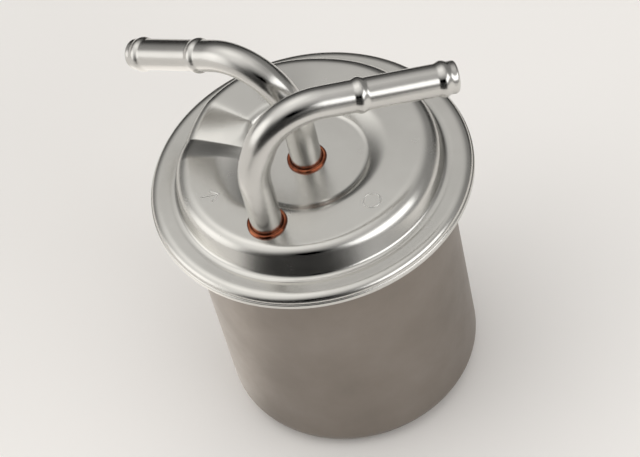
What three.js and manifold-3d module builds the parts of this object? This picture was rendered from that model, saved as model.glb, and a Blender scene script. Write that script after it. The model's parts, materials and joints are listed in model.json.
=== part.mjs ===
// In-line fuel filter: a sealed steel canister with two brazed hose pipes and a pleated paper
// element inside. Millimetres, +Z up. The origin is the centre of the canister's flat bottom, on
// its axis, and the straight end of the inlet pipe points along +X.
import * as THREE from 'three';
import { mergeVertices } from 'three/addons/utils/BufferGeometryUtils.js';
import Module from 'manifold-3d';

const wasm = await Module();
wasm.setup();

// ---- driving dimensions ----------------------------------------------------------------------
const SEAM_TOP = 81;          // height of the seam's flat top above the canister's bottom
const SEAM_HEIGHT = 3.4;      // thickness of the folded seam
const RIM_R = 44;             // outer radius of the folded seam
const CAN_R = 36.3;           // outer radius of the canister's wall
const CAN_SHEET = 0.8;        // canister steel
const CAN_CORNER_R = 6.6;     // outer radius between wall and bottom
const LID_SHEET = 0.9;        // lid steel
const FOOT_R = 36.4;          // where the dome's wall would meet the seam's flat top
const FOOT_FILLET_R = 0.9;    // at the back; the front has more
const DOME_HEIGHT = 6.8;      // stamped plateau above the seam's top
const DISC_R = 16.4;          // sunk flat around the outlet pipe
const DISC_HEIGHT = 4.6;      // that flat above the seam's top
const LAND_RISE = 1.9;        // raised back of the dome above the plateau
const RAMP_START = 126;       // azimuth in degrees where the raised back starts to slope down
const RAMP_SOFTNESS = 2;      // degrees
const VALLEY = 146;           // azimuth of the sharp valley at the ramp's lower end
const VALLEY_DROP = 3.4;      // from the raised back down to the valley
const VALLEY_END = 160;       // azimuth where the valley's other side has risen to the plateau

const PIPE_R = 4.2;           // nipples for 8 mm hose
const BORE_R = 3.2;
const BEAD_R = 4.7;           // hose-retaining beads
const BEAD_HALF_WIDTH = 1.8;
const BEAD_SPACING = 21.5;    // between the two beads of one nipple
const TIP_LENGTH = 3.6;       // from the outer bead to the pipe's end
const INLET_XY = [-15.5, -19.2];
const INLET_REACH = 4.2;      // inlet pipe's open lower end below the plateau
const INLET_LEG_TOP = 104.1;  // height where the inlet pipe starts to bend
const INLET_FIRST_BEND = 24.6; // degrees
const INLET_FIRST_BEND_R = 20.7;
const INLET_BETWEEN_BENDS = 3.9;
const INLET_SECOND_BEND_R = 16.3;
const INLET_STRAIGHT = 9.9;   // from the second bend to the first bead
const INLET_DROOP = 9.7;      // degrees below level
const OUTLET_BOTTOM = 66;     // outlet pipe's open lower end, inside the element
const OUTLET_LEG_TOP = 100.9;
const OUTLET_BEND_R = 16.6;
const OUTLET_STRAIGHT = 5.3;
const OUTLET_DROOP = 21.2;
const OUTLET_AZIMUTH = 133.6; // degrees from +X, seen from above
const BRAZE_WIDTH = 1.1;      // copper run round each pipe
const BRAZE_HEIGHT = 0.9;

const ELEMENT_BOTTOM = 14;    // paper pleats stand between these two heights
const ELEMENT_TOP = 70;
const PLEAT_OUTER_R = 30.4;
const PLEAT_INNER_R = 11.9;
const PLEAT_COUNT = 40;
const OUTER_FOLD = 4.3;       // radial thickness of the paper at the sharp outer folds
const INNER_FOLD = 2.5;
const CAP_R = 31.6;           // end caps of the element
const CAP_SHEET = 0.6;
const CAP_SKIRT = 4;
const SEALANT = 1;            // bonding resin between the pleats and each cap
const CORE_R = 10.4;          // perforated centre tube
const CORE_SHEET = 0.6;
const NECK_R = 7.4;           // bore of the upper cap's neck
const NECK_HEIGHT = 2.5;
const LIP_R = 10;             // grommet's lip, which bears on the neck
const LIP_BOTTOM = 3.6;       // underside and top of the lip above the cap's underside
const LIP_TOP = 5.2;
const PLATE_SHEET = 0.8;      // pressed washer and support plate
const GAP = 0.3;              // between pieces that bear on each other

const RIM_SEGMENTS = 48;      // facets round the canister, lid and seam
const CAP_SEGMENTS = 32;
const PIPE_SEGMENTS = 14;
const BORE_SEGMENTS = 8;

// ---- materials -------------------------------------------------------------------------------
const steel = (color, roughness) => new THREE.MeshStandardMaterial({ color, roughness, metalness: 1 });
const plain = (color, roughness) => new THREE.MeshStandardMaterial({ color, roughness, metalness: 0 });
const SATIN_STEEL = () => steel(0xb9b6b0, 0.32);
const MATTE_STEEL = () => steel(0x9a9287, 0.5);
const TUBE_STEEL = () => steel(0xc4c1bb, 0.25);
const COPPER = () => steel(0xb4643c, 0.35);
const TINPLATE = () => steel(0xa8a8a4, 0.4);
const SPRING_STEEL = () => steel(0x6f6f6f, 0.45);
const PAPER = () => plain(0xc9a86a, 0.95);
const RESIN = () => plain(0xb06a2c, 0.6);
const BLACK_RUBBER = () => plain(0x1c1c1c, 0.85);

// ---- helpers ---------------------------------------------------------------------------------
const radians = THREE.MathUtils.degToRad;
const smooth = (from, to, x) => THREE.MathUtils.smoothstep(x, from, to);
const v2 = ([x, y]) => new THREE.Vector2(x, y);

// A profile of (radius, height) points turned about Z. It closes on itself or ends on the axis.
function turned(profile, segments) {
  const geometry = new THREE.LatheGeometry(profile.map(v2), segments);
  geometry.rotateX(Math.PI / 2);
  return geometry;
}

// A closed ring profile, listed anticlockwise in the (radius, height) plane.
const turnedRing = (profile, segments) => turned([...profile, profile[0]], segments);

// Plain bushing between two radii and two heights.
function bushing(inner, outer, bottom, top, segments) {
  return turnedRing([[inner, bottom], [outer, bottom], [outer, top], [inner, top]], segments);
}

// An outline with optional holes, raised from one height to another.
function raised(shape, bottom, top) {
  const geometry = new THREE.ExtrudeGeometry(shape, { depth: top - bottom, bevelEnabled: false });
  geometry.translate(0, 0, bottom);
  return geometry;
}

// Points on an arc in the (radius, height) plane, angles in degrees, both ends included.
function arc([r, z], radius, from, to, steps) {
  const points = [];
  for (let i = 0; i <= steps; i += 1) {
    const a = radians(from + ((to - from) * i) / steps);
    points.push([r + radius * Math.cos(a), z + radius * Math.sin(a)]);
  }
  return points;
}

// A rod of the given radius from bottom to top, used as a cutter.
function rod(radius, bottom, top, segments) {
  const geometry = new THREE.CylinderGeometry(radius, radius, top - bottom, segments);
  geometry.rotateX(Math.PI / 2);
  geometry.translate(0, 0, (bottom + top) / 2);
  return geometry;
}

function solid(geometry) {
  const bare = geometry.clone();
  for (const name of ['normal', 'uv']) {
    bare.deleteAttribute(name);
  }
  const merged = mergeVertices(bare, 1e-4);
  const vertProperties = Float32Array.from(merged.attributes.position.array);
  const triVerts = Uint32Array.from(merged.index.array);
  return new wasm.Manifold(new wasm.Mesh({ numProp: 3, vertProperties, triVerts }));
}

function geometryOf(body) {
  const { vertProperties, triVerts } = body.getMesh();
  const geometry = new THREE.BufferGeometry();
  geometry.setAttribute('position', new THREE.BufferAttribute(Float32Array.from(vertProperties), 3));
  geometry.setIndex(new THREE.BufferAttribute(Uint32Array.from(triVerts), 1));
  geometry.computeVertexNormals();
  return geometry;
}

const cut = (geometry, cutters) =>
  geometryOf(cutters.reduce((body, cutter) => body.subtract(solid(cutter)), solid(geometry)));

function circlePath(radius, segments) {
  const path = new THREE.Path();
  for (let i = 0; i < segments; i += 1) {
    const angle = (2 * Math.PI * i) / segments;
    const [x, y] = [radius * Math.cos(angle), radius * Math.sin(angle)];
    if (i === 0) path.moveTo(x, y);
    else path.lineTo(x, y);
  }
  path.closePath();
  return path;
}

// ---- canister --------------------------------------------------------------------------------
// Deep-drawn cup: flat bottom, rounded corner, straight wall and a turned-out flange at the top.
function canister() {
  const flangeTop = SEAM_TOP - 1.35;
  const flangeR = RIM_R - 1.3;
  const neckR = 1.9;
  const cornerSteps = 4;
  const neckSteps = 2;
  const corner = [CAN_R - CAN_CORNER_R, CAN_CORNER_R];
  const neck = [CAN_R + neckR, flangeTop - CAN_SHEET - neckR];
  const outside = [
    [0, 0],
    ...arc(corner, CAN_CORNER_R, -90, 0, cornerSteps),
    ...arc(neck, neckR, 180, 90, neckSteps),
    [flangeR, flangeTop - CAN_SHEET],
  ];
  const inside = [
    [flangeR, flangeTop],
    ...arc(neck, neckR + CAN_SHEET, 90, 180, neckSteps),
    ...arc(corner, CAN_CORNER_R - CAN_SHEET, 0, -90, cornerSteps),
    [0, CAN_SHEET],
  ];
  return turned([...outside, ...inside], RIM_SEGMENTS);
}

// ---- lid -------------------------------------------------------------------------------------
// Azimuths are in degrees from +X. This is 1 at the front of the lid and fades to 0 at its back.
const frontShare = (azimuth) => 0.5 + 0.5 * Math.cos(radians(azimuth + 95));

// Radius where the plateau rounds over into the dome's wall: pulled in at the front, most at its
// right.
function shoulderR(azimuth) {
  const frontRight = Math.exp(-(((azimuth + 52) / 40) ** 2));
  return 32.3 - 1.6 * frontShare(azimuth) - 1.4 * frontRight;
}

// Height of the plateau above the seam's top. The back is raised, ramps down to a sharp valley and
// rises again to the plateau.
function plateauHeight(azimuth) {
  if (azimuth < 0 || azimuth > VALLEY_END) return DOME_HEIGHT;
  if (azimuth > VALLEY) {
    const left = (VALLEY_END - azimuth) / (VALLEY_END - VALLEY);
    return DOME_HEIGHT + (LAND_RISE - VALLEY_DROP) * left ** 1.3;
  }
  const past = azimuth - RAMP_START;
  const ramp = (past + Math.hypot(past, RAMP_SOFTNESS)) / 2 / (VALLEY - RAMP_START);
  return DOME_HEIGHT + LAND_RISE * smooth(60, 108, azimuth) - VALLEY_DROP * ramp;
}

// Width of the slope between the sunk disc and the plateau: wide at the left.
function slopeWidth(azimuth) {
  const turn = (azimuth + 360) % 360;
  return 4 + 4.5 * smooth(135, 155, turn) * (1 - smooth(195, 235, turn));
}

// One dome section at an azimuth, from the centre hole out to the foot, for the outer face or, one
// sheet lower, for the inner face.
function domeSection(azimuth, sheet) {
  const plateau = plateauHeight(azimuth);
  const slope = slopeWidth(azimuth);
  const shoulder = shoulderR(azimuth);
  const front = frontShare(azimuth) ** 2;
  const wall = 86 - 26 * front; // degrees, steepest at the back
  const halfWall = Math.tan(radians(wall / 2));
  const points = [[PIPE_R + GAP, DISC_HEIGHT - sheet]];
  for (const t of [0, 0.3, 0.65, 1]) {
    const rise = 1 - (1 - t) ** 2.2;
    points.push([DISC_R + slope * t, DISC_HEIGHT + (plateau - DISC_HEIGHT) * rise - sheet]);
  }
  const rollR = (FOOT_R - shoulder - plateau / Math.tan(radians(wall))) / halfWall;
  const filletR = FOOT_FILLET_R + 0.7 * front;
  const filletCentre = [FOOT_R + filletR * halfWall, filletR];
  points.push(...arc([shoulder, plateau - rollR], rollR - sheet, 90, 90 - wall, 3));
  points.push(...arc(filletCentre, filletR + sheet, 270 - wall, 270, 2));
  return points;
}

// The seam from its flat top outwards, round the hem and back along its inside.
const SEAM_SECTION = [
  [41.2, 0], [42.4, -0.2], [43.2, -0.7], [43.6, -1.4], [43.5, -1.8], [RIM_R, -2.1], [RIM_R, -3],
  [43.5, -SEAM_HEIGHT], [38.6, -SEAM_HEIGHT], [38.6, -2.5], [42.6, -2.5], [43, -2.2], [43, -1.3],
  [42.6, -0.95], [41.9, -LID_SHEET],
];

function lid() {
  const azimuths = [VALLEY, VALLEY_END];
  for (let i = 0; i < RIM_SEGMENTS; i += 1) {
    azimuths.push((360 * i) / RIM_SEGMENTS - 180);
  }
  azimuths.sort((a, b) => a - b);
  const sections = azimuths.map((azimuth) => [
    ...domeSection(azimuth, 0), ...SEAM_SECTION, ...domeSection(azimuth, LID_SHEET).reverse(),
  ]);
  const count = sections[0].length;
  const positions = [];
  const index = [];
  sections.forEach((section, i) => {
    const turn = radians(azimuths[i]);
    for (const [r, z] of section) {
      positions.push(r * Math.cos(turn), r * Math.sin(turn), SEAM_TOP + z);
    }
    const next = (i + 1) % sections.length;
    for (let j = 0; j < count; j += 1) {
      const k = (j + 1) % count;
      const [a, b] = [i * count + j, next * count + j];
      const [c, d] = [i * count + k, next * count + k];
      index.push(a, c, b, b, c, d);
    }
  });
  const geometry = new THREE.BufferGeometry();
  geometry.setAttribute('position', new THREE.Float32BufferAttribute(positions, 3));
  geometry.setIndex(index);
  const inletHole = rod(PIPE_R + GAP, SEAM_TOP, SEAM_TOP + 2 * DOME_HEIGHT, PIPE_SEGMENTS);
  inletHole.translate(INLET_XY[0], INLET_XY[1], 0);
  return cut(geometry, [inletHole]);
}

// Sealing ring squeezed between the lid's and the canister's flanges.
function seamGasket() {
  const [inner, outer] = [38.4, RIM_R - 1.6];
  return bushing(inner, outer, SEAM_TOP - 1.27, SEAM_TOP - 0.98, RIM_SEGMENTS);
}

// ---- pipes -----------------------------------------------------------------------------------
// Steers a centreline through straight runs and bends that all lie in one upright plane.
class Centreline {
  constructor(x, y, z, azimuth) {
    this.point = new THREE.Vector3(x, y, z);
    this.out = new THREE.Vector3(Math.cos(radians(azimuth)), Math.sin(radians(azimuth)), 0);
    this.lean = 0; // degrees from straight up, towards the azimuth
    this.curve = new THREE.CurvePath();
  }

  direction(lean = this.lean) {
    const up = new THREE.Vector3(0, 0, Math.cos(radians(lean)));
    return up.addScaledVector(this.out, Math.sin(radians(lean)));
  }

  run(length) {
    const end = this.point.clone().addScaledVector(this.direction(), length);
    this.curve.add(new THREE.LineCurve3(this.point, end));
    this.point = end;
    return this;
  }

  bend(radius, angle) {
    const centre = this.point.clone().addScaledVector(this.direction(this.lean + 90), radius);
    const place = (lean) => centre.clone().addScaledVector(this.direction(lean - 90), radius);
    const arc = new THREE.Curve();
    const start = this.lean;
    arc.getPoint = (t) => place(start + angle * t);
    this.curve.add(arc);
    this.lean += angle;
    this.point = place(this.lean);
    return this;
  }
}

function inletLine() {
  const bottom = SEAM_TOP + DOME_HEIGHT - INLET_REACH;
  return new Centreline(INLET_XY[0], INLET_XY[1], bottom, 0)
    .run(INLET_LEG_TOP - bottom)
    .bend(INLET_FIRST_BEND_R, INLET_FIRST_BEND)
    .run(INLET_BETWEEN_BENDS)
    .bend(INLET_SECOND_BEND_R, 90 + INLET_DROOP - INLET_FIRST_BEND)
    .run(INLET_STRAIGHT + BEAD_SPACING + TIP_LENGTH);
}

function outletLine() {
  return new Centreline(0, 0, OUTLET_BOTTOM, OUTLET_AZIMUTH)
    .run(OUTLET_LEG_TOP - OUTLET_BOTTOM)
    .bend(OUTLET_BEND_R, 90 + OUTLET_DROOP)
    .run(OUTLET_STRAIGHT + BEAD_SPACING + TIP_LENGTH);
}

// Rolled bead round a nipple, at a distance back from the pipe's end.
function bead(line, back) {
  const inner = (PIPE_R + BORE_R) / 2;
  const profile = [];
  for (let i = -2; i <= 2; i += 1) {
    const swell = Math.cos((Math.PI / 4) * i);
    profile.push([PIPE_R - 0.05 + (BEAD_R - PIPE_R + 0.05) * swell, (BEAD_HALF_WIDTH * i) / 2]);
  }
  const ring = turnedRing(
    [[inner, -BEAD_HALF_WIDTH], ...profile, [inner, BEAD_HALF_WIDTH]], PIPE_SEGMENTS);
  const upright = new THREE.Vector3(0, 0, 1);
  ring.applyQuaternion(new THREE.Quaternion().setFromUnitVectors(upright, line.direction()));
  const place = line.point.clone().addScaledVector(line.direction(), -back);
  ring.translate(place.x, place.y, place.z);
  return ring;
}

function pipe(line, steps) {
  const section = new THREE.Shape(circlePath(PIPE_R, PIPE_SEGMENTS).getPoints());
  section.holes.push(circlePath(BORE_R, BORE_SEGMENTS));
  const tube = new THREE.ExtrudeGeometry(section, { steps, extrudePath: line.curve });
  const beads = [TIP_LENGTH, TIP_LENGTH + BEAD_SPACING].map((back) => solid(bead(line, back)));
  return geometryOf(beads.reduce((body, ring) => body.add(ring), solid(tube)));
}

// Rounded run of copper braze round a pipe where it leaves the lid.
function brazeRing(surface) {
  const inner = PIPE_R + 0.15;
  const bottom = surface + 0.12;
  const place = ([across, up]) => [inner + BRAZE_WIDTH * across, bottom + BRAZE_HEIGHT * up];
  const profile = [[0, 0], [0.9, 0], [1, 0.4], [0.75, 0.85], [0.35, 1], [0, 0.9]];
  return turnedRing(profile.map(place), PIPE_SEGMENTS + 8);
}

// ---- filter element --------------------------------------------------------------------------
// Pleated paper, folded to and fro between the inner and outer radius, standing upright.
function filterPaper() {
  const zigzag = (outer, inner) => {
    const points = [];
    for (let i = 0; i < 2 * PLEAT_COUNT; i += 1) {
      const angle = (Math.PI * i) / PLEAT_COUNT;
      const radius = i % 2 === 0 ? outer : inner;
      points.push(new THREE.Vector2(radius * Math.cos(angle), radius * Math.sin(angle)));
    }
    return points;
  };
  const outline = new THREE.Shape(zigzag(PLEAT_OUTER_R, PLEAT_INNER_R + INNER_FOLD));
  outline.holes.push(new THREE.Path(zigzag(PLEAT_OUTER_R - OUTER_FOLD, PLEAT_INNER_R)));
  return raised(outline, ELEMENT_BOTTOM, ELEMENT_TOP);
}

// Crimped strip in one valley of the pleats, where the two ends of the paper meet.
function paperSeamClip() {
  const [depth, width, endClearance] = [4, 0.6, 1];
  const length = ELEMENT_TOP - ELEMENT_BOTTOM - 2 * endClearance;
  const strip = new THREE.BoxGeometry(depth, width, length);
  strip.translate(PLEAT_OUTER_R - 3, 0, (ELEMENT_BOTTOM + ELEMENT_TOP) / 2);
  strip.rotateZ(Math.PI / PLEAT_COUNT);
  return strip;
}

// Upper end cap: a shallow tray turned down over the resin, with a neck for the grommet.
function upperEndCap() {
  const under = ELEMENT_TOP + GAP + SEALANT + GAP;
  const top = under + CAP_SHEET;
  const skirtR = CAP_R - CAP_SHEET;
  return turnedRing([
    [NECK_R, under], [skirtR, under], [skirtR, top - CAP_SKIRT], [CAP_R, top - CAP_SKIRT],
    [CAP_R, top], [NECK_R + CAP_SHEET, top], [NECK_R + CAP_SHEET, top + NECK_HEIGHT],
    [NECK_R, top + NECK_HEIGHT],
  ], CAP_SEGMENTS);
}

// Lower end cap: the same tray turned up, closed, with a dimple that the spring fits round.
function lowerEndCap() {
  const top = ELEMENT_BOTTOM - GAP - SEALANT - GAP;
  const bottom = top - CAP_SHEET;
  const skirtR = CAP_R - CAP_SHEET;
  const [dimple, dimpleR, dimpleSlope] = [1.6, 5.6, 1];
  return turned([
    [0, bottom - dimple], [dimpleR, bottom - dimple], [dimpleR + dimpleSlope, bottom],
    [CAP_R, bottom], [CAP_R, bottom + CAP_SKIRT], [skirtR, bottom + CAP_SKIRT], [skirtR, top],
    [dimpleR + dimpleSlope + GAP, top], [dimpleR + GAP, top - dimple], [0, top - dimple],
  ], CAP_SEGMENTS);
}

const sealantRing = (bottom) =>
  bushing(CORE_R + GAP, CAP_R - CAP_SHEET - GAP, bottom, bottom + SEALANT, CAP_SEGMENTS);

// Perforated steel tube that keeps the pleats from collapsing inwards. Each drill goes right
// across, so it makes two opposite holes, and every second row is turned between its neighbours.
function centreTube() {
  const [bottom, top] = [ELEMENT_BOTTOM - SEALANT, ELEMENT_TOP + SEALANT];
  const rows = 5;
  const drillR = 2.2;
  const cutters = [];
  for (let row = 0; row < rows; row += 1) {
    const height = bottom + ((top - bottom) * (row + 0.5)) / rows;
    for (const turn of [0, 90]) {
      const drill = new THREE.CylinderGeometry(drillR, drillR, 3 * CORE_R, 6);
      drill.rotateZ(radians(turn + 45 * (row % 2)));
      drill.translate(0, 0, height);
      cutters.push(drill);
    }
  }
  return cut(bushing(CORE_R - CORE_SHEET, CORE_R, bottom, top, 24), cutters);
}

// Fine mesh sleeve inside the centre tube, drawn as a thin open sleeve.
function strainer() {
  const outer = CORE_R - CORE_SHEET - GAP;
  const sheet = 0.4;
  const topClearance = 5;
  return bushing(outer - sheet, outer, ELEMENT_BOTTOM, ELEMENT_TOP - topClearance, 24);
}

// Rubber ring that seals the outlet pipe's lower end in the upper end cap's neck.
function outletGrommet() {
  const under = ELEMENT_TOP + SEALANT + 2 * GAP;
  const [inner, outer] = [PIPE_R + GAP, NECK_R - GAP];
  const bottom = under - 2;
  return turnedRing([
    [inner, bottom], [outer, bottom], [outer, under + LIP_BOTTOM], [LIP_R, under + LIP_BOTTOM],
    [LIP_R, under + LIP_TOP], [inner, under + LIP_TOP],
  ], 24);
}

// Pressed washer that clamps the grommet's lip on the outlet pipe.
function grommetWasher() {
  const bottom = ELEMENT_TOP + SEALANT + 2 * GAP + LIP_TOP + GAP;
  return bushing(PIPE_R + GAP, LIP_R - 0.4, bottom, bottom + PLATE_SHEET, 24);
}

// Star-shaped plate on the canister's floor that centres the element's lower cap.
function supportPlate() {
  const outline = new THREE.Shape();
  const arms = 4;
  const [hubR, armR, hubHalf, armHalf, holeR] = [15, 28, 30, 12, 5];
  const corners = [[hubR, -hubHalf], [armR, -armHalf], [armR, armHalf], [hubR, hubHalf]];
  for (let i = 0; i < arms; i += 1) {
    for (const [radius, offset] of corners) {
      const angle = radians((360 * i) / arms + offset);
      const [x, y] = [radius * Math.cos(angle), radius * Math.sin(angle)];
      if (i === 0 && offset === -hubHalf) outline.moveTo(x, y);
      else outline.lineTo(x, y);
    }
  }
  outline.closePath();
  outline.holes.push(circlePath(holeR, 16));
  return raised(outline, CAN_SHEET + GAP, CAN_SHEET + GAP + PLATE_SHEET);
}

// Coil spring that holds the element up against the outlet pipe.
function elementSpring() {
  const [wireR, coilR, turns] = [0.8, 9, 2.5];
  const bottom = CAN_SHEET + GAP + PLATE_SHEET + GAP + wireR;
  const top = ELEMENT_BOTTOM - 2 * GAP - SEALANT - CAP_SHEET - GAP - wireR;
  const helix = new THREE.Curve();
  helix.getPoint = (t) => {
    const angle = 2 * Math.PI * turns * t;
    const height = bottom + (top - bottom) * t;
    return new THREE.Vector3(coilR * Math.cos(angle), coilR * Math.sin(angle), height);
  };
  const section = new THREE.Shape(circlePath(wireR, 6).getPoints());
  return new THREE.ExtrudeGeometry(section, { steps: 60, extrudePath: helix });
}

// ---- assembly --------------------------------------------------------------------------------
const filter = new THREE.Group();

function add(name, geometry, material) {
  const mesh = new THREE.Mesh(geometry, material);
  mesh.name = name;
  filter.add(mesh);
  return mesh;
}

add('canister', canister(), MATTE_STEEL());
add('lid', lid(), SATIN_STEEL());
add('seam_gasket', seamGasket(), BLACK_RUBBER());
add('inlet_pipe', pipe(inletLine(), 28), TUBE_STEEL());
add('outlet_pipe', pipe(outletLine(), 32), TUBE_STEEL());
const inletRing = add('inlet_braze_ring', brazeRing(SEAM_TOP + DOME_HEIGHT), COPPER());
inletRing.position.set(INLET_XY[0], INLET_XY[1], 0);
add('outlet_braze_ring', brazeRing(SEAM_TOP + DISC_HEIGHT), COPPER());
add('filter_paper', filterPaper(), PAPER());
add('paper_seam_clip', paperSeamClip(), TINPLATE());
add('centre_tube', centreTube(), TINPLATE());
add('strainer', strainer(), TINPLATE());
add('upper_sealant', sealantRing(ELEMENT_TOP + GAP), RESIN());
add('lower_sealant', sealantRing(ELEMENT_BOTTOM - GAP - SEALANT), RESIN());
add('upper_end_cap', upperEndCap(), TINPLATE());
add('lower_end_cap', lowerEndCap(), TINPLATE());
add('outlet_grommet', outletGrommet(), BLACK_RUBBER());
add('grommet_washer', grommetWasher(), TINPLATE());
add('support_plate', supportPlate(), TINPLATE());
add('element_spring', elementSpring(), SPRING_STEEL());

export default filter;
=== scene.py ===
"""The looks of the fuel filter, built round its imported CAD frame. Metres, +Z up.

The pieces that show are made again as fine meshes: the drawn canister, the stamped lid with its
rolled seam, the two beaded pipes and the copper braze. The pieces sealed inside keep their CAD
shape and get their own materials.
"""
import json
import math

import bpy
import numpy as np
from mathutils import Matrix, Vector


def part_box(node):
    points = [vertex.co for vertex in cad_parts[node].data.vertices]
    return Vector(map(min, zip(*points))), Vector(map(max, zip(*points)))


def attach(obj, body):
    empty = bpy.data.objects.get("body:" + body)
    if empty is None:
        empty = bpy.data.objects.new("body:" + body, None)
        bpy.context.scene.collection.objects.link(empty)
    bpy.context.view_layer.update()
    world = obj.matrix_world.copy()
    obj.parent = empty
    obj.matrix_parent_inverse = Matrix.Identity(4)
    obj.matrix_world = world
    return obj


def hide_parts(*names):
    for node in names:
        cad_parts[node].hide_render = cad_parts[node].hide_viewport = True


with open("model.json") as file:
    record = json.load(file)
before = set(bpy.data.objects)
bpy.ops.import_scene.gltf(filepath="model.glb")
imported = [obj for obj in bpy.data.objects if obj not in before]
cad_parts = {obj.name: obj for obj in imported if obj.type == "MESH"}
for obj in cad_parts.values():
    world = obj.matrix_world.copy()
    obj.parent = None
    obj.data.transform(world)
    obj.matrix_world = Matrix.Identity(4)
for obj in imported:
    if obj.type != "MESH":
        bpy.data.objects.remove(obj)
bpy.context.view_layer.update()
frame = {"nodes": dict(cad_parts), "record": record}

MM = 0.001


def box_of(node):
    low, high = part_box(node)
    return np.array(low), np.array(high)


# ---- driving dimensions ------------------------------------------------------------------------
LID_LOW, LID_HIGH = box_of("lid")
CAN_LOW, CAN_HIGH = box_of("canister")
SEAM_HEIGHT = 3.4 * MM
SEAM_TOP = LID_LOW[2] + SEAM_HEIGHT
RIM_R = LID_HIGH[0]
FLANGE_R = CAN_HIGH[0]
CAN_R = FLANGE_R - 6.5 * MM
CAN_CORNER_R = 6.6 * MM
CAN_SHEET = 0.8 * MM
LID_SHEET = 0.9 * MM
FOOT_R = 36.4 * MM
FOOT_FILLET_R = 0.9 * MM
DOME_HEIGHT = 6.8 * MM
DISC_R = 16.4 * MM
DISC_HEIGHT = 4.6 * MM
LAND_RISE = 1.9 * MM
RAMP_START = 126
RAMP_SOFTNESS = 2
CREASE = 146
CREASE_DROP = 3.4 * MM
VALLEY_END = 160

PIPE_R = 4.2 * MM
BORE_R = 3.2 * MM
HOLE_R = PIPE_R + 0.2 * MM
BEAD_R = 4.7 * MM
BEAD_HALF_WIDTH = 1.8 * MM
BEAD_SPACING = 21.5 * MM
TIP_LENGTH = 3.6 * MM
INLET_STUB = box_of("inlet_pipe")[0][2]
INLET_LEG_TOP = 103.97 * MM
INLET_DROOP = 9.7
OUTLET_STUB = box_of("outlet_pipe")[0][2]
OUTLET_LEG_TOP = 100.9 * MM
OUTLET_BEND_R = 16.6 * MM
OUTLET_DROOP = 21.2
OUTLET_AZIMUTH = 133.6


def middle(node):
    low, high = box_of(node)
    return (low + high) / 2


INLET_XY = middle("inlet_braze_ring")[:2]
OUTLET_XY = middle("outlet_braze_ring")[:2]


# ---- small helpers -----------------------------------------------------------------------------
def smooth(start, end, x):
    t = np.clip((x - start) / (end - start), 0.0, 1.0)
    return t * t * (3 - 2 * t)


def bell(x, centre, width):
    return np.exp(-(((x - centre) / width) ** 2))


def make_piece(name, points, faces, material, node=None):
    """A smooth-shaded mesh piece that rides on the one body and may stand for a CAD node."""
    mesh = bpy.data.meshes.new(name)
    mesh.from_pydata([tuple(p) for p in points], [], [tuple(f) for f in faces])
    mesh.validate()
    mesh.polygons.foreach_set("use_smooth", [True] * len(mesh.polygons))
    mesh.update()
    piece = bpy.data.objects.new(name, mesh)
    bpy.context.scene.collection.objects.link(piece)
    piece.data.materials.append(material)
    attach(piece, "root")
    if node:
        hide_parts(node)
    return piece


def ring_faces(rings, count, close_rings=False, flip=False):
    """Quads between rings of `count` points each. close_rings joins the last ring to the first."""
    faces = []
    last = rings if close_rings else rings - 1
    for i in range(last):
        a, b = i * count, ((i + 1) % rings) * count
        for j in range(count):
            k = (j + 1) % count
            quad = (a + j, b + j, b + k, a + k)
            faces.append(quad[::-1] if flip else quad)
    return faces


def arc_points(centre, radius, start, end, steps):
    """Points on an arc in the (radius, height) plane, angles in degrees, ends included."""
    angles = np.radians(np.linspace(start, end, steps + 1))
    return [(centre[0] + radius * math.cos(a), centre[1] + radius * math.sin(a)) for a in angles]


def subdivided(profile, longest):
    """The profile with extra points, so that no stretch is longer than `longest`."""
    points = [profile[0]]
    for (r0, z0), (r1, z1) in zip(profile, profile[1:]):
        parts = max(1, math.ceil(math.hypot(r1 - r0, z1 - z0) / longest))
        for i in range(1, parts + 1):
            t = i / parts
            points.append((r0 + (r1 - r0) * t, z0 + (z1 - z0) * t))
    return points


def turned(profile, segments):
    """Points and faces of a profile that starts and ends on the axis, turned about Z."""
    middle_part = profile[1:-1]
    angles = np.linspace(0, 2 * math.pi, segments, endpoint=False)
    points = [(r * math.cos(a), r * math.sin(a), z) for r, z in middle_part for a in angles]
    faces = ring_faces(len(middle_part), segments, flip=True)
    first, last = len(points), len(points) + 1
    points += [(0, 0, profile[0][1]), (0, 0, profile[-1][1])]
    end = (len(middle_part) - 1) * segments
    for j in range(segments):
        k = (j + 1) % segments
        faces.append((first, k, j))
        faces.append((last, end + j, end + k))
    return points, faces


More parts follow.
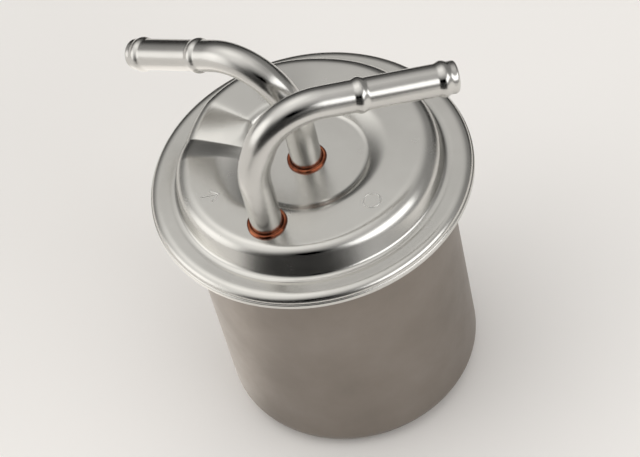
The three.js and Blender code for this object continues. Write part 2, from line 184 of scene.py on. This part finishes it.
# ---- materials ---------------------------------------------------------------------------------
class Nodes:
    """A short way to write a node tree."""

    def __init__(self, name):
        self.material = bpy.data.materials.new(name)
        self.material.use_nodes = True
        self.tree = self.material.node_tree
        self.shader = self.tree.nodes["Principled BSDF"]
        self.space = self.add("ShaderNodeTexCoord").outputs["Object"]

    def add(self, kind, **values):
        node = self.tree.nodes.new(kind)
        for key, value in values.items():
            setattr(node, key, value)
        return node

    def link(self, output, socket):
        self.tree.links.new(output, socket)

    def stretched(self, scale):
        mapping = self.add("ShaderNodeMapping")
        mapping.inputs["Scale"].default_value = scale
        self.link(self.space, mapping.inputs["Vector"])
        return mapping.outputs["Vector"]

    def noise(self, scale, detail=4.0, rough=0.55, stretch=None):
        node = self.add("ShaderNodeTexNoise")
        node.inputs["Scale"].default_value = scale
        node.inputs["Detail"].default_value = detail
        node.inputs["Roughness"].default_value = rough
        source = self.stretched(stretch) if stretch else self.space
        self.link(source, node.inputs["Vector"])
        return node.outputs["Fac"]

    def ramp(self, source, stops):
        node = self.add("ShaderNodeValToRGB")
        ramp = node.color_ramp
        while len(ramp.elements) < len(stops):
            ramp.elements.new(0.5)
        for element, (place, colour) in zip(ramp.elements, stops):
            element.position = place
            element.color = (*colour, 1) if len(colour) == 3 else colour
        self.link(source, node.inputs["Fac"])
        return node.outputs["Color"]

    def spread(self, source, low, high, source_low=0.3, source_high=0.7):
        node = self.add("ShaderNodeMapRange")
        node.inputs["From Min"].default_value = source_low
        node.inputs["From Max"].default_value = source_high
        node.inputs["To Min"].default_value = low
        node.inputs["To Max"].default_value = high
        self.link(source, node.inputs["Value"])
        return node.outputs["Result"]

    def calculate(self, operation, a, b):
        node = self.add("ShaderNodeMath", operation=operation)
        for socket, value in zip(node.inputs, (a, b)):
            if isinstance(value, (int, float)):
                socket.default_value = value
            else:
                self.link(value, socket)
        return node.outputs["Value"]

    def bump(self, height, distance, strength=1.0, under=None):
        node = self.add("ShaderNodeBump")
        node.inputs["Strength"].default_value = strength
        node.inputs["Distance"].default_value = distance
        self.link(height, node.inputs["Height"])
        if under:
            self.link(under, node.inputs["Normal"])
        return node.outputs["Normal"]


def metal(name, colours, roughness, dent, streak=None, anisotropy=0.0, cloud_scale=38.0):
    """Plated or bare metal: cloudy colour, smudged gloss, faint dents and a fine grain."""
    n = Nodes(name)
    shader = n.shader
    shader.inputs["Metallic"].default_value = 1.0
    shader.inputs["Anisotropic"].default_value = anisotropy
    cloud = n.noise(cloud_scale, detail=5.0)
    n.link(n.ramp(cloud, list(zip((0.3, 0.5, 0.7), colours))), shader.inputs["Base Color"])
    smudge = n.noise(120.0, detail=6.0, rough=0.65)
    n.link(n.spread(smudge, *roughness), shader.inputs["Roughness"])
    normal = n.bump(n.noise(110.0, detail=1.0), dent * MM)
    normal = n.bump(n.noise(3200.0, detail=3.0, rough=0.6), 0.002 * MM, under=normal)
    if streak:
        grain = n.noise(1.0, detail=4.0, rough=0.6, stretch=streak)
        normal = n.bump(grain, 0.01 * MM, under=normal)
    n.link(normal, shader.inputs["Normal"])
    return n.material


def lid_steel():
    return metal(
        "lid_steel", [(0.62, 0.61, 0.58), (0.66, 0.65, 0.62), (0.70, 0.69, 0.66)],
        (0.22, 0.28), 0.006)


# Painted highlight: the stamped lines are the lid's own sheet, given a lighter and rougher copy of the
# lid steel so that they read as bright lines.
def stamp_steel_painted_highlight():
    return metal(
        "stamp_steel_painted_highlight", [(0.84, 0.83, 0.80), (0.88, 0.87, 0.84), (0.92, 0.91, 0.88)],
        (0.38, 0.48), 0.006)


def can_steel():
    return metal(
        "can_steel", [(0.245, 0.217, 0.190), (0.272, 0.240, 0.211), (0.30, 0.267, 0.238)],
        (0.40, 0.48), 0.01, streak=(420.0, 420.0, 9.0), anisotropy=0.3)


def pipe_steel():
    return metal(
        "pipe_steel", [(0.59, 0.58, 0.555), (0.63, 0.62, 0.595), (0.67, 0.66, 0.635)],
        (0.21, 0.27), 0.004)


def copper_braze():
    return metal(
        "copper_braze", [(0.10, 0.035, 0.02), (0.30, 0.09, 0.045), (0.48, 0.19, 0.10)],
        (0.13, 0.24), 0.03, cloud_scale=260.0)


def tinplate():
    return metal(
        "tinplate", [(0.50, 0.50, 0.48), (0.58, 0.58, 0.56), (0.64, 0.64, 0.62)],
        (0.28, 0.42), 0.03)


def spring_steel():
    return metal(
        "spring_steel", [(0.16, 0.15, 0.14), (0.22, 0.21, 0.20), (0.28, 0.27, 0.25)],
        (0.30, 0.45), 0.02)


def strainer_mesh():
    """Woven wire: two crossed waves as bump, and painted shade in the openings between the wires."""
    n = Nodes("strainer_mesh")
    n.shader.inputs["Metallic"].default_value = 1.0
    weave = []
    for direction in ("X", "Z"):
        wave = n.add("ShaderNodeTexWave", bands_direction=direction)
        wave.inputs["Scale"].default_value = 900.0
        wave.inputs["Distortion"].default_value = 0.4
        n.link(n.space, wave.inputs["Vector"])
        weave.append(wave.outputs["Fac"])
    wires = n.calculate("MAXIMUM", *weave)
    # Painted shade: the openings between the wires are coloured near black.
    colours = n.ramp(wires, [(0.2, (0.03, 0.03, 0.03)), (0.6, (0.42, 0.42, 0.40))])
    n.link(colours, n.shader.inputs["Base Color"])
    n.link(n.spread(wires, 0.7, 0.35, 0.0, 1.0), n.shader.inputs["Roughness"])
    n.link(n.bump(wires, 0.1 * MM), n.shader.inputs["Normal"])
    return n.material


def soft_surface(name, colours, roughness, grain_scale, grain_depth, spotted=0.0):
    """Paper, rubber and resin: mottled colour with a fine grain."""
    n = Nodes(name)
    cloud = n.noise(90.0, detail=6.0, rough=0.6)
    n.link(n.ramp(cloud, list(zip((0.3, 0.5, 0.7), colours))), n.shader.inputs["Base Color"])
    n.link(n.spread(n.noise(240.0), *roughness), n.shader.inputs["Roughness"])
    grain = n.noise(grain_scale, detail=8.0, rough=0.7)
    normal = n.bump(grain, grain_depth * MM)
    if spotted:
        normal = n.bump(n.noise(spotted, detail=1.0), 2 * grain_depth * MM, under=normal)
    n.link(normal, n.shader.inputs["Normal"])
    return n.material


def filter_paper():
    return soft_surface(
        "filter_paper", [(0.50, 0.34, 0.14), (0.58, 0.41, 0.18), (0.64, 0.47, 0.23)],
        (0.82, 0.95), 1800.0, 0.06, spotted=500.0)


def bonding_resin():
    return soft_surface(
        "bonding_resin", [(0.36, 0.13, 0.03), (0.45, 0.18, 0.05), (0.52, 0.23, 0.07)],
        (0.28, 0.45), 400.0, 0.03)


def black_rubber():
    return soft_surface(
        "black_rubber", [(0.012, 0.012, 0.012), (0.018, 0.018, 0.018), (0.028, 0.027, 0.026)],
        (0.55, 0.75), 1500.0, 0.03)


# ---- canister ----------------------------------------------------------------------------------
def canister(material):
    """Drawn can: flat bottom, rounded corner, straight wall, and a flange turned out at the top."""
    neck_r = 1.9 * MM
    flange_under = CAN_HIGH[2] - CAN_SHEET
    neck_z = flange_under - neck_r
    corner = (CAN_R - CAN_CORNER_R, CAN_CORNER_R)
    neck = (CAN_R + neck_r, neck_z)
    fine = 2 * MM
    outside = [(0, 0)]
    outside += arc_points(corner, CAN_CORNER_R, -90, 0, 20)
    outside += arc_points(neck, neck_r, 180, 90, 8)
    outside += [(FLANGE_R, flange_under)]
    inside = [(FLANGE_R, flange_under + CAN_SHEET)]
    inside += arc_points(neck, neck_r + CAN_SHEET, 90, 180, 8)
    inside += arc_points(corner, CAN_CORNER_R - CAN_SHEET, 0, -90, 12)
    inside += [(0, CAN_SHEET)]
    points, faces = turned(subdivided(outside + inside, fine), 256)
    return make_piece("canister_shell", points, faces, material, "canister")


# ---- lid ---------------------------------------------------------------------------------------
def front_share(azimuth):
    """1 at the front of the lid, fading to 0 at its back."""
    return 0.5 + 0.5 * math.cos(math.radians(azimuth + 95))


def shoulder_radius(azimuth):
    """Where the plateau rolls over into the dome's wall: pulled in at the front, most at its right."""
    return 32.3 * MM - 1.6 * MM * front_share(azimuth) - 1.4 * MM * bell(azimuth, -52, 40)


def plateau_height(azimuth):
    """The back is raised, ramps down to a sharp valley, and rises again to the plateau."""
    turn = np.mod(azimuth, 360)
    if turn > VALLEY_END:
        return DOME_HEIGHT
    if turn > CREASE:
        left = (VALLEY_END - turn) / (VALLEY_END - CREASE)
        return DOME_HEIGHT + (LAND_RISE - CREASE_DROP) * left ** 1.3
    past = turn - RAMP_START
    ramp = (past + math.hypot(past, RAMP_SOFTNESS)) / 2 / (CREASE - RAMP_START)
    return DOME_HEIGHT + LAND_RISE * smooth(60, 108, turn) - CREASE_DROP * ramp


def slope_width(azimuth):
    """Run of the slope between the sunk disc and the plateau: wide at the left, less so at the
    right."""
    turn = np.mod(azimuth, 360)
    left = smooth(135, 155, turn) * (1 - smooth(195, 235, turn))
    right = bell((azimuth + 180) % 360 - 180, 5, 60)
    return 4.0 * MM + 4.5 * MM * left + 1.8 * MM * right


def dome_section(azimuth, sheet, slope_steps, flat_steps, roll_steps):
    """(radius, height over the seam) from a pipe's hole to the dome's foot, at one azimuth."""
    plateau = plateau_height(azimuth)
    slope = slope_width(azimuth)
    shoulder = shoulder_radius(azimuth)
    points = [(r, DISC_HEIGHT) for r in np.linspace(HOLE_R, DISC_R, flat_steps + 1)[:-1]]
    for t in np.linspace(0, 1, slope_steps + 1):
        rise = 1 - (1 - t) ** 1.8
        points.append((DISC_R + slope * t, DISC_HEIGHT + (plateau - DISC_HEIGHT) * rise))
    flat_from = DISC_R + slope
    points += [(r, plateau) for r in np.linspace(flat_from, shoulder, flat_steps + 1)[1:-1]]
    wall = math.radians(86 - 26 * front_share(azimuth) ** 2)
    roll_r = (FOOT_R - shoulder - plateau / math.tan(wall)) / math.tan(wall / 2)
    centre = (shoulder, plateau - roll_r)
    points += arc_points(centre, roll_r - sheet, 90, 90 - math.degrees(wall), roll_steps)
    fillet_r = FOOT_FILLET_R + 0.7 * MM * front_share(azimuth) ** 2 + sheet
    back = fillet_r * math.tan(wall / 2)
    foot = (FOOT_R - sheet * math.tan(wall / 2) + back, fillet_r - sheet)
    points += arc_points(foot, fillet_r, 270 - math.degrees(wall), 270, roll_steps // 2)
    cut = len(points) - (roll_steps + 1) - (roll_steps // 2 + 1)
    return [(r, z - sheet) for r, z in points[:cut]] + points[cut:]


def seam_section(azimuth):
    """The fine groove, the flat rim, the rolled edge with its crease, and the hem underneath."""
    lift = 0.20 * front_share(azimuth) ** 2
    groove = [(37.5, -0.20 * lift), (37.8, -0.35 * lift), (38.05, -0.2 * lift),
              (38.3, 0.1 * lift), (38.55, 0.3 * lift), (38.8, 0.4 * lift)]
    flat = [(39.3, 0.5 * lift), (40.1, 0.75 * lift), (40.9, lift)]
    roll = [(41.2 + 2.45 * math.sin(t), lift - (1.6 + lift) * (1 - math.cos(t)))
            for t in np.radians((0, 12, 24, 36, 48, 60, 70, 79, 87))]
    lip = [(43.55, -1.75), (43.8, -1.82), (43.95, -1.97), (44.0, -2.2), (44.0, -3.0),
           (43.9, -3.25), (43.6, -3.4)]
    hem = [(42.6, -3.4), (38.6, -3.4), (38.6, -2.5), (42.6, -2.5), (42.85, -2.3)]
    inside = [(42.9, -1.4), (42.5, -1.0), (41.9, -0.9), (37.6, -0.9)]
    return [(r * MM, z * MM) for r, z in groove + flat + roll + lip + hem + inside]


def lid(material):
    segments = 960
    points = []
    count = 0
    for i in range(segments):
        azimuth = 360 * i / segments - 180
        turn = math.radians(azimuth)
        top = dome_section(azimuth, 0.0, 12, 12, 12)
        underside = dome_section(azimuth, LID_SHEET, 4, 2, 6)[::-1]
        section = top + seam_section(azimuth) + underside
        count = len(section)
        points += [(r * math.cos(turn), r * math.sin(turn), SEAM_TOP + z) for r, z in section]
    faces = ring_faces(segments, count, close_rings=True, flip=True)
    return make_piece("lid_stamping", points, faces, material, "lid")


def stamped_lines(name, strokes, material):
    """Fine raised lines stamped in the plateau, each a list of (x, y) in millimetres."""
    points, faces = [], []
    half, height, sunk = 0.22 * MM, 0.16 * MM, 0.04 * MM
    section = [(-1, -sunk), (-0.6, 0.75 * height), (0, height), (0.6, 0.75 * height), (1, -sunk)]
    for stroke in strokes:
        path = np.array(stroke) * MM
        along = np.gradient(path, axis=0)
        along /= np.linalg.norm(along, axis=1)[:, None]
        first = len(points)
        for (x, y), (dx, dy) in zip(path, along):
            for across, up in section:
                points.append((x - dy * half * across, y + dx * half * across,
                               SEAM_TOP + DOME_HEIGHT + up))
        faces += [tuple(first + k for k in face)
                  for face in ring_faces(len(path), len(section), flip=True)]
        last = first + (len(path) - 1) * len(section)
        faces.append(tuple(range(first, first + len(section))))
        faces.append(tuple(range(last, last + len(section)))[::-1])
    return make_piece(name, points, faces, material)


def straight(start, end):
    return [tuple(np.array(start) + (np.array(end) - np.array(start)) * t)
            for t in (0, 0.1, 0.5, 0.9, 1)]


def flow_arrow(material):
    """A plain arrow that points to the inlet pipe."""
    tail, tip = (-30.0, -3.8), (-25.2, -4.4)
    strokes = [straight(tail, tip), straight((-27.3, -2.6), tip), straight((-27.5, -6.3), tip)]
    return stamped_lines("stamped_flow_arrow", strokes, material)


def ring_mark(material):
    """A plain stamped ring."""
    centre, radius = (12.0, -22.6), 2.3
    turns = np.linspace(0, 2 * math.pi, 49)
    ring = [(centre[0] + radius * math.cos(a), centre[1] + radius * math.sin(a)) for a in turns]
    return stamped_lines("stamped_ring", [ring], material)


# ---- pipes -------------------------------------------------------------------------------------
class Centreline:
    """Straight runs and bends in one upright plane, sampled as (point, tangent, length so far)."""

    def __init__(self, start, azimuth):
        self.point = np.array(start, float)
        turn = math.radians(azimuth)
        self.out = np.array([math.cos(turn), math.sin(turn), 0.0])
        self.side = np.array([-math.sin(turn), math.cos(turn), 0.0])
        self.lean = 0.0
        self.length = 0.0
        self.samples = [(self.point, self.direction(), 0.0)]

    def direction(self, lean=None):
        angle = math.radians(self.lean if lean is None else lean)
        return math.sin(angle) * self.out + math.cos(angle) * np.array([0.0, 0.0, 1.0])

    def run(self, distance, step):
        steps = max(1, math.ceil(distance / step))
        for i in range(1, steps + 1):
            place = self.point + self.direction() * distance * i / steps
            self.samples.append((place, self.direction(), self.length + distance * i / steps))
        self.point = self.samples[-1][0]
        self.length += distance
        return self

    def bend(self, radius, angle, step):
        centre = self.point + radius * self.direction(self.lean + 90)
        distance = radius * math.radians(angle)
        steps = max(1, math.ceil(distance / step))
        start = self.lean
        for i in range(1, steps + 1):
            lean = start + angle * i / steps
            place = centre + radius * self.direction(lean - 90)
            self.samples.append((place, self.direction(lean), self.length + distance * i / steps))
        self.lean = start + angle
        self.point = self.samples[-1][0]
        self.length += distance
        return self


def bead_swell(back):
    """Extra radius at a distance back from the pipe's end: the two rolled beads."""
    swell = 0.0
    for middle_of_bead in (TIP_LENGTH, TIP_LENGTH + BEAD_SPACING):
        t = (back - middle_of_bead) / BEAD_HALF_WIDTH
        if abs(t) < 1:
            swell += (BEAD_R - PIPE_R) * math.cos(math.pi / 2 * t) ** 1.5
    return swell


def pipe(name, line, material, node):
    segments = 72
    angles = np.linspace(0, 2 * math.pi, segments, endpoint=False)
    points = []
    edge = 0.7 * MM

    def ring(place, tangent, radius):
        across = np.cross(line.side, tangent)
        for a in angles:
            offset = radius * (math.cos(a) * line.side + math.sin(a) * across)
            points.append(tuple(place + offset))

    rings = 0
    for place, tangent, length in line.samples:
        back = line.length - length
        if back < edge:
            continue
        ring(place, tangent, PIPE_R + bead_swell(back))
        rings += 1
    end, tangent = line.point, line.direction()
    for angle in (15, 35, 55, 75, 90):
        turn = math.radians(angle)
        ring(end - tangent * edge * (1 - math.sin(turn)), tangent,
             PIPE_R - edge * (1 - math.cos(turn)))
        rings += 1
    for place, inner_tangent, length in reversed(line.samples):
        ring(place, inner_tangent, BORE_R)
        rings += 1
    faces = ring_faces(rings, segments, close_rings=True, flip=True)
    return make_piece(name, points, faces, material, node)


def inlet_line():
    first_bend = 24.6
    return (
        Centreline((*INLET_XY, INLET_STUB), 0)
        .run(INLET_LEG_TOP - INLET_STUB, 1 * MM)
        .bend(20.7 * MM, first_bend, 0.8 * MM)
        .run(3.9 * MM, 0.8 * MM)
        .bend(16.3 * MM, 90 + INLET_DROOP - first_bend, 0.8 * MM)
        .run(9.9 * MM + BEAD_SPACING + TIP_LENGTH, 0.25 * MM)
    )


def outlet_line():
    return (
        Centreline((*OUTLET_XY, OUTLET_STUB), OUTLET_AZIMUTH)
        .run(OUTLET_LEG_TOP - OUTLET_STUB, 1 * MM)
        .bend(OUTLET_BEND_R, 90 + OUTLET_DROOP, 0.8 * MM)
        .run(5.3 * MM + BEAD_SPACING + TIP_LENGTH, 0.25 * MM)
    )


# ---- copper braze ------------------------------------------------------------------------------
def braze(name, centre, surface, material, node):
    """A half-round run of copper, a little uneven, lying in the corner of a pipe and the lid."""
    segments, around = 128, 20
    points = []
    inner = PIPE_R - 0.05 * MM
    for i in range(segments):
        angle = 2 * math.pi * i / segments
        uneven = 0.08 * math.sin(3 * angle + 0.7) + 0.04 * math.sin(7 * angle + 2.0)
        width = (1.2 + uneven) * MM
        height = (0.78 + 0.5 * uneven) * MM
        for j in range(around):
            t = j / around
            if t < 0.75:
                turn = math.radians(155) * t / 0.75
                r = inner + width * (0.5 + 0.5 * math.cos(turn))
                z = surface + height * math.sin(turn) ** 0.8
            else:
                r = inner
                z = surface + height * 0.5 * (1 - (t - 0.75) / 0.25)
            points.append((centre[0] + r * math.cos(angle), centre[1] + r * math.sin(angle), z))
    faces = ring_faces(segments, around, close_rings=True)
    return make_piece(name, points, faces, material, node)


# ---- stage -------------------------------------------------------------------------------------
def floor():
    bpy.ops.mesh.primitive_plane_add(size=6, location=(0, 0, 0))
    plane = bpy.context.object
    plane.name = "floor"
    n = Nodes("pale_floor")
    cloud = n.noise(3.0, detail=3.0)
    n.link(n.ramp(cloud, [(0.3, (0.90, 0.88, 0.86)), (0.7, (0.94, 0.92, 0.90))]),
           n.shader.inputs["Base Color"])
    n.shader.inputs["Roughness"].default_value = 0.6
    plane.data.materials.append(n.material)


def softbox(name, azimuth, elevation, distance, size, radiance):
    """A square area light that looks at the lid's centre from an azimuth and an elevation."""
    light = bpy.data.lights.new(name, "AREA")
    light.shape = "RECTANGLE"
    light.size, light.size_y = size
    light.energy = radiance * math.pi * size[0] * size[1]
    lamp = bpy.data.objects.new(name, light)
    bpy.context.scene.collection.objects.link(lamp)
    away = towards(azimuth, elevation)
    lamp.location = Vector((0, 0, SEAM_TOP)) + away * distance
    lamp.rotation_euler = (-away).to_track_quat("-Z", "Y").to_euler()
    lamp.visible_camera = False


def reflection_card(name, points, columns, rows, fades):
    """A black card that only reflections see. It is as opaque at each point as `fades` says."""
    faces = [(a, a + 1, a + columns + 1, a + columns)
             for i in range(rows - 1) for a in range(i * columns, (i + 1) * columns - 1)]
    mesh = bpy.data.meshes.new(name)
    mesh.from_pydata(points, [], faces)
    mesh.attributes.new("fade", "FLOAT", "POINT").data.foreach_set("value", fades)
    card = bpy.data.objects.new(name, mesh)
    bpy.context.scene.collection.objects.link(card)
    n = Nodes(name + "_cloth")
    n.shader.inputs["Base Color"].default_value = (0.02, 0.02, 0.02, 1)
    n.shader.inputs["Roughness"].default_value = 1.0
    n.link(n.add("ShaderNodeAttribute", attribute_name="fade").outputs["Fac"],
           n.shader.inputs["Alpha"])
    card.data.materials.append(n.material)
    card.visible_camera = False
    card.visible_diffuse = False
    card.visible_shadow = False
    return card


def flag(name, start, full_from, full_to, end, distance, height):
    """A curved black flag standing low round the object, seen only by reflections. Its cloth
    fades out towards the top and between the azimuths at its two ends."""
    columns, rows = 41, 9
    points, fades = [], []
    for i in range(rows):
        up = i / (rows - 1)
        for azimuth in np.linspace(start, end, columns):
            turn = math.radians(azimuth)
            points.append((distance * math.cos(turn), distance * math.sin(turn),
                           0.001 + height * up))
            fades.append(float(smooth(start, full_from, azimuth)
                               * (1 - smooth(full_to, end, azimuth))
                               * (1 - smooth(0.75, 1.0, up))))
    reflection_card(name, points, columns, rows, fades)


def floor_glow():
    """A patch of bright floor at the left, seen only by reflections: it lights the can's side."""
    inner, outer, start, end = 0.03, 0.16, 100, 212
    columns, rows = 31, 7
    points, fades = [], []
    for i in range(rows):
        out = i / (rows - 1)
        for azimuth in np.linspace(start, end, columns):
            turn = math.radians(azimuth)
            distance = inner + (outer - inner) * out
            points.append((distance * math.cos(turn), distance * math.sin(turn), 0.0004))
            fades.append(float(smooth(start, start + 15, azimuth)
                               * (1 - smooth(end - 30, end, azimuth)) * (1 - smooth(0.6, 1, out))))
    card = reflection_card("floor_glow", points, columns, rows, fades)
    shader = card.data.materials[0].node_tree.nodes["Principled BSDF"]
    shader.inputs["Emission Color"].default_value = (1.0, 0.96, 0.91, 1)
    shader.inputs["Emission Strength"].default_value = 1.3


def towards(azimuth, elevation):
    a, e = math.radians(azimuth), math.radians(elevation)
    return Vector((math.cos(a) * math.cos(e), math.sin(a) * math.cos(e), math.sin(e)))


def studio():
    """A soft grey room: an even base with broad glows, and a dark stretch behind the camera."""
    world = bpy.data.worlds.new("studio")
    bpy.context.scene.world = world
    world.use_nodes = True
    tree = world.node_tree
    background = tree.nodes["Background"]
    background.inputs["Color"].default_value = (1.0, 0.985, 0.96, 1)
    direction = tree.nodes.new("ShaderNodeTexCoord").outputs["Generated"]
    total = None
    glows = [
        (150, 78, 15, 60, 0.60), (175, 12, 8, 34, 1.15), (165, 50, 10, 45, 0.20),
        (300, 45, 10, 55, 0.25), (245, 8, 12, 46, -0.24), (120, 68, 5, 22, 0.30),
        (85, 8, 12, 38, -0.15), (264, 50, 8, 34, -0.42),
        (335, 63, 5, 20, -0.30),
    ]
    for azimuth, elevation, inner, outer, gain in glows:
        aim = tree.nodes.new("ShaderNodeVectorMath")
        aim.operation = "DOT_PRODUCT"
        aim.inputs[1].default_value = towards(azimuth, elevation)
        tree.links.new(direction, aim.inputs[0])
        glow = tree.nodes.new("ShaderNodeMapRange")
        glow.interpolation_type = "SMOOTHSTEP"
        glow.inputs["From Min"].default_value = math.cos(math.radians(outer))
        glow.inputs["From Max"].default_value = math.cos(math.radians(inner))
        glow.inputs["To Min"].default_value = 0.0
        glow.inputs["To Max"].default_value = gain
        tree.links.new(aim.outputs["Value"], glow.inputs["Value"])
        plus = tree.nodes.new("ShaderNodeMath")
        plus.inputs[0].default_value = 0.27
        if total:
            tree.links.new(total, plus.inputs[0])
        tree.links.new(glow.outputs["Result"], plus.inputs[1])
        total = plus.outputs["Value"]
    paths = tree.nodes.new("ShaderNodeLightPath")
    fill = tree.nodes.new("ShaderNodeMath")
    fill.operation = "MULTIPLY_ADD"
    fill.inputs[1].default_value = 0.25
    tree.links.new(paths.outputs["Is Diffuse Ray"], fill.inputs[0])
    tree.links.new(total, fill.inputs[2])
    mix = tree.nodes.new("ShaderNodeMix")
    tree.links.new(paths.outputs["Is Camera Ray"], mix.inputs["Factor"])
    tree.links.new(fill.outputs["Value"], mix.inputs["A"])
    mix.inputs["B"].default_value = 0.75
    tree.links.new(mix.outputs["Result"], background.inputs["Strength"])
    softbox("front_right_softbox", 311, 33, 0.9, (0.85, 0.42), 1.7)
    flag("front_flag", 198, 220, 262, 296, 0.34, 0.22)
    flag("back_flag", 5, 30, 105, 130, 0.45, 0.22)
    floor_glow()
    bpy.context.scene.view_settings.view_transform = "Standard"


def camera():
    """The photograph's viewing angle: from above and in front, with the camera rolled."""
    azimuth, elevation, roll = -93.6, 50.189, -15.108
    aim = Vector((-1.5, 0.1, 56.03)) * MM
    place = Vector((-24.09, -382.89, 516.31)) * MM
    data = bpy.data.cameras.new("camera")
    data.sensor_width = 36
    data.lens = 121.96
    data.clip_start = 0.01
    view = bpy.data.objects.new("camera", data)
    bpy.context.scene.collection.objects.link(view)
    look = (aim - place).to_track_quat("-Z", "Y").to_matrix().to_4x4()
    view.matrix_world = (
        Matrix.Translation(place) @ look @ Matrix.Rotation(math.radians(roll), 4, "Z")
    )
    bpy.context.scene.camera = view


# ---- assembly ----------------------------------------------------------------------------------
def finish_inner_nodes(materials):
    """The sealed inner pieces keep their CAD meshes and take the material of their slot."""
    replaced = {"canister", "lid", "inlet_pipe", "outlet_pipe", "inlet_braze_ring",
                "outlet_braze_ring"}
    for part in frame["record"]["subparts"]:
        node = part["node"]
        if node in replaced:
            continue
        mesh = frame["nodes"][node].data
        mesh.materials.clear()
        mesh.materials.append(materials[part["material_slot"]])


camera()
floor()
studio()

MATERIALS = {
    make.__name__: make()
    for make in (lid_steel, stamp_steel_painted_highlight, can_steel, pipe_steel, copper_braze, tinplate, spring_steel,
                 strainer_mesh, filter_paper, bonding_resin, black_rubber)
}
canister(MATERIALS["can_steel"])
lid(MATERIALS["lid_steel"])
# The stamped marks take the steel with the painted highlight.
flow_arrow(MATERIALS["stamp_steel_painted_highlight"])
ring_mark(MATERIALS["stamp_steel_painted_highlight"])
pipe("inlet_tube", inlet_line(), MATERIALS["pipe_steel"], "inlet_pipe")
pipe("outlet_tube", outlet_line(), MATERIALS["pipe_steel"], "outlet_pipe")
braze("inlet_braze", INLET_XY, SEAM_TOP + DOME_HEIGHT, MATERIALS["copper_braze"],
      "inlet_braze_ring")
braze("outlet_braze", OUTLET_XY, SEAM_TOP + DISC_HEIGHT, MATERIALS["copper_braze"],
      "outlet_braze_ring")
finish_inner_nodes(MATERIALS)
